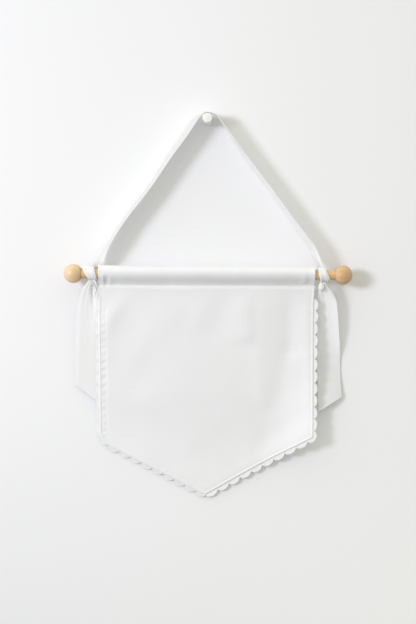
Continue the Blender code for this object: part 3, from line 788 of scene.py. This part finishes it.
def make_panel(material):
    ends = [0.0, 0.12, 0.3, 0.55, 0.9, 1.3, 1.8, 2.4, 3.0, 3.5, 4.0, 4.6, 5.3, 6.1, 7.0, 8.0, 8.7, 9.3, 10.2, 11.4, 12.8]
    width = PANEL_RIGHT[0][1] - PANEL_LEFT[0][1]
    middle = np.linspace(14.3, width - 14.3, 128)
    across = np.concatenate([ends, middle, width - np.array(ends)[::-1]]) / width
    top_x = PANEL_LEFT[0][1] * (1 - across) + PANEL_RIGHT[0][1] * across
    blocks = []
    # The pocket.
    at = np.linspace(0, 1, 64)
    shape = section(None, at)
    lift = 0.75 * (1 - across) - 0.55 * across
    toward, up = np.repeat(shape[:, :1], len(across), 1), np.repeat(shape[:, 1:], len(across), 1)
    raised = smooth(-2.0, 7.5, up)
    up = up + raised * lift[None, :]
    x = np.repeat(top_x[None, :], len(at), 0)
    on_front = smooth(0.62, 0.72, at)[:, None]
    sewn = np.exp(-(((up + SEAM_BELOW_ROD) / 1.0) ** 2)) * on_front
    wrinkles = ridges(x, up, PUCKERS) * on_front
    gathers = noise(x + 400, up * 0.25 + 40, 5.0, 21) * np.exp(-(((up + SEAM_BELOW_ROD - 2.0) / 4.5) ** 2)) * on_front
    soft = 0.22 * noise(x + 400, up + 60, 26, 22) + 0.12 * noise(x + 400, up * 0.6 + 60, 9, 23)
    # At its open ends the pocket flares a little round the rod.
    ends_at = np.minimum(x - x[:, :1], x[:, -1:] - x)
    flare = 0.45 * np.exp(-((ends_at / 3.0) ** 2)) * smooth(-9.0, -2.0, up)
    toward_scale = 1 + 0.0 * toward
    pocket = np.stack([x, ROD_CENTRE[1] - toward * toward_scale, axis_height(x) + up], axis=-1)
    normal = grid_normals(pocket)
    push = wrinkles + 0.28 * gathers + soft * smooth(-11.0, -6.0, up) + flare - 0.35 * sewn
    # The rod's side of the cloth stays clear of the rod.
    reach = np.hypot(ROD_CENTRE[1] - pocket[..., 1], pocket[..., 2] - axis_height(x))
    push = np.maximum(push, 5.0 + COTTON + 0.25 - reach)
    pocket = pocket + normal * push[..., None]
    blocks.append(pocket[:-1])
    # The panel below it.
    start_z = pocket[-1, :, 2]
    offsets = np.array([13.5, 12.0, 10.8, 9.9, 9.2, 8.6, 8.0, 7.2, 6.3, 5.4, 4.7, 4.1, 3.6, 3.1, 2.5, 1.9, 1.4, 0.95, 0.6, 0.33, 0.14, 0.0])
    main = np.linspace(0, 1, 112)
    slope = np.where(top_x < TIP[0], 0.4625, 0.549)
    lean = np.sqrt(1 + slope**2)
    rows = []
    for t in main[:-1]:
        x_now = top_x.copy()
        for _ in range(3):
            low = bottom_height(x_now) + 15.0 * lean
            z_now = start_z + t * (low - start_z)
            x_now = side(PANEL_LEFT, z_now) * (1 - across) + side(PANEL_RIGHT, z_now) * across
        rows.append(np.stack([x_now, z_now], axis=-1))
    for off in np.concatenate([[15.0], offsets]):
        x_now = top_x.copy()
        for _ in range(3):
            z_now = bottom_height(x_now) + off * lean
            x_now = side(PANEL_LEFT, z_now) * (1 - across) + side(PANEL_RIGHT, z_now) * across
        rows.append(np.stack([x_now, z_now], axis=-1))
    flat = round_corners(np.array(rows))
    px, pz = flat[..., 0], flat[..., 1]
    e, s = to_edge(px, pz)
    # It leaves the pocket smoothly.
    d = depth(px, pz)
    start_d = -pocket[-1, :, 1]
    fade = np.exp(-(((start_z[None, :] - pz) / 5.0) ** 2))
    tucks = noise(px + 400, pz * 0.3, 4.6, 24) * 0.14 * np.exp(-((start_z[None, :] - pz) / 5.0)) * smooth(0.0, 1.0, start_z[None, :] - pz)
    d = d + (start_d - d[0])[None, :] * fade + tucks
    lower = np.stack([px, -d, pz], axis=-1)
    blocks.append(lower)
    points = np.concatenate(blocks)
    count = len(blocks[0])
    normals = grid_normals(points)
    front = np.zeros(points.shape[:2])
    back = np.full(points.shape[:2], COTTON)
    front[count:] = relief(e, s, px, pz) * smooth(-166.0, -170.0, pz)
    # The pocket's ends are hemmed too.
    end = np.minimum(points[:count, :, 0] - points[:count, :1, 0], points[:count, -1:, 0] - points[:count, :, 0])
    front[:count] += -(0.5 - np.sqrt(np.maximum(0.25 - np.clip(0.5 - end, 0, 0.5) ** 2, 0)))
    thick = COTTON + (HEM - COTTON) * smooth(HEM_WIDTH + 0.5, HEM_WIDTH - 0.3, e)
    round_back = 0.3 - np.sqrt(np.maximum(0.3**2 - np.clip(0.3 - e, 0, 0.3) ** 2, 0))
    thick = thick * smooth(-166.0, -174.0, pz) + COTTON * (1 - smooth(-166.0, -174.0, pz))
    back[count:] = np.maximum(thick - round_back, 0.02 - front[count:])
    # The folded edge of the pocket's back layer.
    back[:3] += 0.35
    parts = slab_parts(points, front, back, normals)
    panel = make_mesh("panel_cotton", *parts, sharp=60)
    finish_piece(panel, material, ["panel"])
    return panel


# ---------------------------------------------------------------- the trim


def trim_line():
    """Stations along the panel's outline: place, outward way, and how far along in scallops."""
    turn = 5.6
    corners = [
        Vector((float(side(PANEL_RIGHT, TRIM_TOP)), TRIM_TOP)),
        Vector(CORNER_RIGHT),
        Vector(TIP),
        Vector(CORNER_LEFT),
        Vector((float(side(PANEL_LEFT, TRIM_TOP)), TRIM_TOP)),
    ]
    radii = [0, turn, turn, 3 * turn, 0]
    points, marks = [corners[0]], [0]
    for i in (1, 2, 3):
        a, b = (corners[i - 1] - corners[i]).normalized(), (corners[i + 1] - corners[i]).normalized()
        bisector = (a + b).normalized()
        lean = math.sqrt(1 - a.dot(bisector) ** 2)
        centre = corners[i] + bisector * radii[i] / lean
        first = corners[i] + a * radii[i] * a.dot(bisector) / lean - centre
        last = corners[i] + b * radii[i] * b.dot(bisector) / lean - centre
        for k in range(21):
            if k == 10:
                marks.append(len(points))
            points.append(centre + (first * (1 - k / 20) + last * (k / 20)).normalized() * radii[i])
    points.append(corners[4])
    marks.append(len(points) - 1)
    far = np.concatenate([[0], np.cumsum([(q - p).length for p, q in zip(points, points[1:])])])
    xs, zs = [p.x for p in points], [p.y for p in points]
    found, phase = [], 0.0
    steps = 14
    for k, scallops in enumerate(TRIM_SIDES):
        start, end = far[marks[k]], far[marks[k + 1]]
        count = round(scallops * steps)
        for i in range(count + (k == len(TRIM_SIDES) - 1)):
            s = start + (end - start) * i / count
            here = Vector((np.interp(s, far, xs), np.interp(s, far, zs)))
            ahead = Vector((np.interp(s + 1.2, far, xs), np.interp(s + 1.2, far, zs)))
            behind = Vector((np.interp(s - 1.2, far, xs), np.interp(s - 1.2, far, zs)))
            along = (ahead - behind).normalized()
            early = 0.2 * min(1.0, 11 * i / count, 11 * (1 - i / count)) if k == 2 else 0.0
            found.append((here.x, here.y, -along.y, along.x, phase + scallops * i / count + early, s))
        phase += scallops
    return np.array(found)


def make_trim(material):
    line = trim_line()
    hx, hz, ox, oz, at, s = line.T
    bump = np.abs(np.sin(math.pi * at)) ** 0.55
    uneven = 1 + 0.05 * noise(at * 3.0, 0 * at, 2.0, 31)
    low_left = smooth(0.1, 0.35, -ox) * smooth(-0.3, -0.7, oz)
    left, right = smooth(0.6, 0.9, -ox), smooth(0.6, 0.9, ox)
    valley = TRIM_VALLEY - 1.7 * low_left + 0.7 * left
    reach = valley + (TRIM_BUMP - 1.8 * left - 0.5 * right - valley) * bump * uneven
    shares = np.array([0.0, 0.25, 0.5, 0.7, 0.84, 0.92, 0.97, 1.0])
    columns, front = [], []
    base = depth(hx, hz) - TRIM_BACK
    for share in shares:
        off = -TRIM_INSIDE + (reach + TRIM_INSIDE) * share
        x, z = hx + ox * off, hz + oz * off
        inner = depth(hx + ox * np.minimum(off, 0), hz + oz * np.minimum(off, 0)) - TRIM_BACK
        # Each scallop cups a little.
        cup = (0.38 * ox - 0.30 * oz) * smooth(0.5, 1.0, share) * bump + 0.14 * noise(x, z, 9, 32) * smooth(0.4, 1.0, share)
        # At the lower left the scallops lean back to the wall.
        stands = inner + cup
        stands = stands + 0.65 * (0.5 - stands) * low_left * smooth(0.2, 4.2, off)
        columns.append(np.stack([x, -stands, z], axis=-1))
        # A corded edge.
        rim = 0.14 * (1 - low_left) * math.exp(-(((share - 0.93) / 0.04) ** 2))
        front.append(TRIM / 2 + rim - (0.17 if share == 1.0 else 0.0))
    points = np.stack(columns, axis=1)
    front = np.stack(front, axis=1)
    parts = slab_parts(points, front, front * 1.0)
    trim = make_mesh("trim_scallops", *parts, sharp=60)
    return finish_piece(trim, material, ["trim"])


# ---------------------------------------------------------------- stitches


def stitch_parts(places, ways, normals, length, radius):
    """Short rounded threads: places in mm, with their directions and the surface's normals."""
    rings, sides = 7, 6
    t = np.linspace(-1, 1, rings)
    swell = np.sqrt(np.clip(1 - (np.abs(t) * 0.98) ** 4, 0.02, 1))
    parts = []
    angle = np.arange(sides) * 2 * math.pi / sides
    for place, way, normal in zip(places, ways, normals):
        cross = np.cross(way, normal)
        ring = (
            place
            + way * (t * length / 2)[:, None, None]
            + (np.cos(angle)[None, :, None] * normal + np.sin(angle)[None, :, None] * cross) * (radius * swell)[:, None, None]
            - normal * (0.22 * t**2)[:, None, None]
        )
        vertices = ring.reshape(-1, 3)
        vertices = np.concatenate([vertices, ring[:1].mean(1), ring[-1:].mean(1)])
        quads = []
        for i in range(rings - 1):
            for j in range(sides):
                k = (j + 1) % sides
                quads.append((i * sides + j, i * sides + k, (i + 1) * sides + k, (i + 1) * sides + j))
        parts.append((vertices, quads, rings * sides))
    return parts


def make_stitches(material):
    """All the sewn lines as one mesh: round the border, and across below the rod."""
    places, ways, normals = [], [], []
    # Round the border.
    inward = np.gradient(EDGE, axis=0)
    inward /= np.linalg.norm(inward, axis=1, keepdims=True)
    inward = np.stack([-inward[:, 1], inward[:, 0]], axis=1)
    line = EDGE + inward * STITCH_IN
    keep, _ = to_edge(line[:, 0], line[:, 1])
    good = (keep > STITCH_IN - 0.12) & (line[:, 1] < -170.0)
    line = line[good]
    far = np.concatenate([[0], np.cumsum(np.linalg.norm(np.diff(line, axis=0), axis=1))])
    at = np.arange(1.0, far[-1], STITCH)
    x, z = np.interp(at, far, line[:, 0]), np.interp(at, far, line[:, 1])
    x2, z2 = np.interp(at + 0.5, far, line[:, 0]), np.interp(at + 0.5, far, line[:, 1])
    x1, z1 = np.interp(at - 0.5, far, line[:, 0]), np.interp(at - 0.5, far, line[:, 1])
    for side_way, level in ((-1.0, None), (1.0, TRIM_BACK + TRIM / 2 + 0.10)):
        d = front_depth(x, z) + 0.10 if level is None else depth(x, z) - level
        d1 = front_depth(x1, z1) if level is None else depth(x1, z1) - level
        d2 = front_depth(x2, z2) if level is None else depth(x2, z2) - level
        shift = 0.0 if level is None else STITCH / 2
        p = np.stack([x, -d, z], axis=1)
        way = np.stack([x2 - x1, -(d2 - d1), z2 - z1], axis=1)
        way /= np.linalg.norm(way, axis=1, keepdims=True)
        p = p + way * shift
        n = np.tile([0.0, side_way, 0.0], (len(p), 1))
        n -= way * (n * way).sum(1, keepdims=True)
        places.append(p), ways.append(way), normals.append(n / np.linalg.norm(n, axis=1, keepdims=True))
    # Across below the rod.
    x = np.arange(PANEL_LEFT[0][1] + 2.2, PANEL_RIGHT[0][1] - 2.0, STITCH)
    z = axis_height(x) - SEAM_BELOW_ROD
    for side_way, toward in ((-1.0, -1.75), (1.0, -3.45)):
        y = np.full(len(x), ROD_CENTRE[1] - toward + (0.12 if side_way < 0 else 0.0))
        p = np.stack([x + (STITCH / 2 if side_way > 0 else 0), y, z], axis=1)
        way = np.tile([1.0, 0.0, -math.tan(math.radians(ROD_TILT))], (len(p), 1))
        way /= np.linalg.norm(way, axis=1, keepdims=True)
        lean = np.array([0.0, side_way * 0.86, -0.5 if side_way < 0 else 0.0])
        n = np.tile(lean / np.linalg.norm(lean), (len(p), 1))
        n -= way * (n * way).sum(1, keepdims=True)
        places.append(p), ways.append(way), normals.append(n / np.linalg.norm(n, axis=1, keepdims=True))
    made = stitch_parts(np.concatenate(places), np.concatenate(ways), np.concatenate(normals), STITCH * 0.8, 0.17)
    mesh = bpy.data.meshes.new("stitches")
    vertices, faces, count = [], [], 0
    for v, quads, ring_count in made:
        vertices.append(v)
        faces += [tuple(count + k for k in q) for q in quads]
        sides = 6
        for j in range(sides):
            k = (j + 1) % sides
            faces.append((count + k, count + j, count + ring_count))
            faces.append((count + ring_count - sides + j, count + ring_count - sides + k, count + ring_count + 1))
        count += len(v)
    mesh.from_pydata((np.concatenate(vertices) * MM).tolist(), [], faces)
    mesh.update()
    mesh.shade_smooth()
    obj = bpy.data.objects.new("stitches", mesh)
    bpy.context.scene.collection.objects.link(obj)
    return finish_piece(obj, material)


# ---------------------------------------------------------------- the ribbon


def through(rows, step):
    rows = np.asarray(rows, float)
    middle = (rows[:, :3] + rows[:, 3:6]) / 2
    along = np.concatenate([[0], np.cumsum(np.linalg.norm(np.diff(middle, axis=0), axis=1))])
    count = round(along[-1] / step) + 1
    return hermite(along, rows, np.linspace(0, along[-1], count)), np.linspace(0, along[-1], count)


def ribbon_grid(table, step, columns, seed):
    """Points across the ribbon at each station of the hanger or of a tail."""
    stations, s = through(table, step)
    near = np.stack([stations[:, 0], -stations[:, 2], stations[:, 1]], axis=1)
    far = np.stack([stations[:, 3], -stations[:, 5], stations[:, 4]], axis=1)
    along = np.gradient((near + far) / 2, axis=0)
    along /= np.linalg.norm(along, axis=1, keepdims=True)
    width = far - near
    normal = np.cross(width, along)
    normal /= np.linalg.norm(normal, axis=1, keepdims=True)
    v = np.linspace(0, 1, columns)[None, :]
    wide = np.linalg.norm(width, axis=1)[:, None]
    curl = 0.14 * noise(s[:, None] + 0 * v, v * 20 + 0 * s[:, None], 17, seed)
    across = near[:, None, :] + width[:, None, :] * v[..., None]
    if stations.shape[1] == 7:
        pleat = stations[:, 6][:, None]
        wave = pleat * np.cos(2 * math.pi * (2.3 * v + 0.35 * pleat)) + 0.5 * pleat * np.sin(2 * math.pi * (5.1 * v + 0.8 * pleat))
        return across + normal[:, None, :] * (wave + curl)[..., None]
    rise = np.concatenate([np.zeros((len(s), 1)), stations[:, 6:10], np.zeros((len(s), 1))], axis=1)
    toward = hermite((0.0, 0.12, 0.36, 0.62, 0.85, 1.0), rise.T, v[0]).reshape(columns, -1).T
    off = (v - stations[:, 10][:, None]) * wide
    toward = toward - stations[:, 11][:, None] * np.exp(-((off / (0.9 + 0.05 * wide)) ** 2))
    fine = 0.10 * np.clip(stations[:, 11], 0, 1)[:, None] * np.cos(2 * math.pi * 4.3 * v + 0.8)
    facing = np.where(normal[:, 1:2] < 0, normal, -normal)
    return across + facing[:, None, :] * (toward + fine + curl)[..., None]


def wrap_grid(low_left, left, high_left, low_right, right, high_right, seed):
    """A flat turn of ribbon round the rod, with a few soft pleats."""
    around = np.linspace(0, 2 * math.pi * 1.03, 97)
    v = np.linspace(0, 1, 33)
    a, w = np.meshgrid(around, v, indexing="ij")
    height = np.sin(a)
    start = hermite((-1.0, 0.0, 1.0), (low_left, left, high_left), height.ravel()).reshape(a.shape)
    end = hermite((-1.0, 0.0, 1.0), (low_right, right, high_right), height.ravel()).reshape(a.shape)
    drift = w + 0.10 * np.sin(a + 0.6) + 0.04 * np.sin(2 * a)
    pleats = 0.34 * np.abs(np.sin(math.pi * 1.9 * drift + 0.9)) + (0.20 - 0.12 * height) * np.abs(np.sin(math.pi * 4.7 * drift + 0.4))
    wander = 0.16 * noise(a * 3 + 20, w * 9 + 30, 2.4, seed)
    r = 6.15 + pleats + wander - 0.4 * np.abs(2 * w - 1) ** 8 + 0.40 * a / (2 * math.pi) + 0.9 * smooth(0.2, 1.0, height)
    px = start + (end - start) * w + 0.25 * noise(a * 2 + 5, 0 * a, 1.4, seed + 5)
    # y runs to the wall at a = 0
    return np.stack([px, ROD_CENTRE[1] + r * np.cos(a), axis_height(px) + r * height], axis=-1)


def knot_grid(x, below, behind, wide, deep, tall, seed):
    """The knot below the rod: a smooth drop, with a fold or two drawn down into the tail."""
    polar = np.linspace(0.06, math.pi - 0.06, 41)
    around = np.linspace(0, 2 * math.pi, 61)
    p, a = np.meshgrid(polar, around, indexing="ij")
    way = np.stack([np.sin(p) * np.cos(a), np.sin(p) * np.sin(a), np.cos(p)], axis=-1)
    full = 0.82 - 0.18 * np.cos(p)
    fold = 0.07 * np.exp(-(((way[..., 0] - 0.35 + 0.3 * way[..., 2]) / 0.10) ** 2)) * np.sin(p)
    r = 0.98 - fold + 0.03 * noise(a * 2, p * 3, 0.9, seed)
    centre = np.array([x, ROD_CENTRE[1] + behind, axis_height(x) - below])
    return centre + way * np.stack([wide * full, deep * full, tall + 0 * full], axis=-1) * r[..., None]


def make_ribbon(material, knot_material):
    pieces = []
    hanger = ribbon_grid(HANGER, 1.7, 15, 41)
    pieces.append(slab_parts(hanger, RIBBON / 2, RIBBON / 2))
    for table, columns, seed in ((TAIL_LEFT, 33, 42), (TAIL_RIGHT, 33, 43), (TUCK_LEFT, 9, 49)):
        tail = ribbon_grid(table, 1.2, columns, seed)
        pieces.append(slab_parts(tail, RIBBON / 2, RIBBON / 2))
    ribbon = finish_piece(make_mesh("ribbon_length", *joined(pieces), sharp=60), material, ["ribbon"])
    tied = [slab_parts(wrap_grid(*row), RIBBON / 2, RIBBON / 2) for row in WRAPS]
    tied += [slab_parts(knot_grid(*row), RIBBON / 2, RIBBON / 2) for row in KNOTS]
    knots = finish_piece(make_mesh("ribbon_knots", *joined(tied), sharp=60), knot_material)
    return ribbon, knots


# ---------------------------------------------------------------- the wood and the peg


def turned(name, profile, centre, axis, sides=72):
    """A turned shape from (radius, height) points in mm, standing along axis."""
    profile = np.array(profile, float)
    angle = np.arange(sides) * 2 * math.pi / sides
    rings = np.stack(
        [
            profile[:, :1] * np.cos(angle),
            profile[:, :1] * np.sin(angle),
            np.repeat(profile[:, 1:], sides, 1),
        ],
        axis=-1,
    )
    mesh = bpy.data.meshes.new(name)
    n = len(profile)
    faces = [
        (i * sides + (j + 1) % sides, i * sides + j, (i + 1) * sides + j, (i + 1) * sides + (j + 1) % sides)
        for i in range(n - 1)
        for j in range(sides)
    ]
    vertices = (rings.reshape(-1, 3) * MM).tolist()
    for ring, middle, flip in ((0, profile[0, 1], False), (n - 1, profile[-1, 1], True)):
        vertices.append((0.0, 0.0, middle * MM))
        last = len(vertices) - 1
        for j in range(sides):
            a, b = ring * sides + j, ring * sides + (j + 1) % sides
            faces.append((a, b, last) if not flip else (b, a, last))
    mesh.from_pydata(vertices, [], faces)
    mesh.update()
    mesh.shade_smooth()
    mesh.set_sharp_from_angle(angle=math.radians(35))
    obj = bpy.data.objects.new(name, mesh)
    bpy.context.scene.collection.objects.link(obj)
    turn = Vector((0, 0, 1)).rotation_difference(Vector(axis)).to_matrix().to_4x4()
    obj.matrix_world = Matrix.Translation(Vector(centre) * MM) @ turn
    return obj


def arc(centre, radius, start, end, steps):
    """Profile points on an arc, angles in degrees from the turning axis."""
    return [
        (centre[0] + radius * math.sin(math.radians(a)), centre[1] + radius * math.cos(math.radians(a)))
        for a in np.linspace(start, end, steps)
    ]


def make_wood(rod_material, ball_materials):
    lean = math.radians(ROD_TILT)
    axis = Vector((math.cos(lean), 0, -math.sin(lean)))
    centre = Vector(ROD_CENTRE)
    half = BALL_SPAN / 2 - HOLE_FLOOR - GAP
    body = [(ROD_RADIUS, z) for z in np.linspace(half - 0.6, -half + 0.6, 60)]
    profile = [(0.02, half), *arc((ROD_RADIUS - 0.6, half - 0.6), 0.6, 0, 90, 5), *body[1:-1]]
    profile += [*arc((ROD_RADIUS - 0.6, -half + 0.6), 0.6, 90, 180, 5), (0.02, -half)]
    rod = turned("rod_dowel", profile, centre, axis, 64)
    finish_piece(rod, rod_material, ["rod"])
    hole = ROD_RADIUS + GAP
    mouth = -math.sqrt(BALL_RADIUS**2 - (hole + 0.35) ** 2)
    last = 180 - math.degrees(math.asin((hole + 0.35) / BALL_RADIUS))
    for name, way, ball_material in (("ball_left", -1, ball_materials[0]), ("ball_right", 1, ball_materials[1])):
        profile = [(0.02, BALL_RADIUS), *arc((0, 0), BALL_RADIUS, 2.5, last, 46)]
        profile += [(hole + 0.12, mouth + 0.12), (hole, mouth + 0.4), (hole, -HOLE_FLOOR), (0.02, -HOLE_FLOOR)]
        ball = turned(name + "_bead", profile, centre + axis * way * BALL_SPAN / 2, axis * way, 80)
        finish_piece(ball, ball_material, [name])


def make_peg(material):
    r, long = PEG_RADIUS, PEG_LENGTH
    profile = [(0.02, long), (1.2, long - 0.03), (2.4, long - 0.12), (3.3, long - 0.27), *arc((r - 0.75, long - 1.05), 0.75, 12, 90, 8)]
    profile += [(r, long - 4.0), (r - 0.02, long - 9.0), (r - 0.02, 8.0), (r, 1.2), (r, 0.0), (0.02, 0.0)]
    peg = turned("peg_turned", profile, (0, 0, 0), (0, -1, 0), 72)
    finish_piece(peg, material, ["peg"])


# ---------------------------------------------------------------- all of it

make_camera()
make_light()
make_stage()
cotton = woven("cotton_weave", (0.885, 0.885, 0.885), (0.84, 0.84, 0.84), 2100, 0.00012, 0.86, 0.12)
tape = woven("tape_weave", (0.90, 0.90, 0.90), (0.85, 0.85, 0.85), 1500, 0.00015, 0.84, 0.12, slub=0.2)
silk = woven("ribbon_weave", (0.775, 0.775, 0.773), (0.735, 0.735, 0.733), 2600, 0.00007, 0.85, 0.02, slub=0.2, warp=0.7, gloss=0.1)
panel = make_panel(cotton)
trim = make_trim(tape)
# The knots wear a lighter copy of the ribbon's weave: the doubled layers reflect a little more, and the rest is painted
# light, standing in for the light through the ribbon, which lights the hanging ribbon but not the knots.
knotted = woven("ribbon_weave_doubled_painted_light", (0.87, 0.87, 0.868), (0.825, 0.825, 0.823), 2600, 0.00007, 0.85, 0.05, slub=0.2, warp=0.7, gloss=0.15)
ribbon, knots = make_ribbon(silk, knotted)
stitches = make_stitches(thread_finish("sewing_thread", (0.85, 0.85, 0.845)))
make_wood(
    wood("beech_dowel", (0.80, 0.55, 0.29), (0.68, 0.42, 0.18), (0.42, 0.22, 0.08), 2),
    (
        wood("beech_bead", (0.83, 0.63, 0.39), (0.74, 0.50, 0.27), (0.46, 0.25, 0.10), 0, 0.6, 0.8),
        # The right bead's wood is a darker copy of the left bead's: painted shade, for the lesser light that reaches
        # the right end of the rod.
        wood("beech_bead_painted_shade", (0.73, 0.51, 0.29), (0.63, 0.39, 0.19), (0.38, 0.20, 0.08), 0, 0.6, 0.3),
    ),
)
make_peg(paint("peg_white", (0.90, 0.89, 0.86), (0.84, 0.82, 0.78)))

let_through(("rod_dowel", "ball_left_bead", "ball_right_bead", "peg_turned"), ribbon)
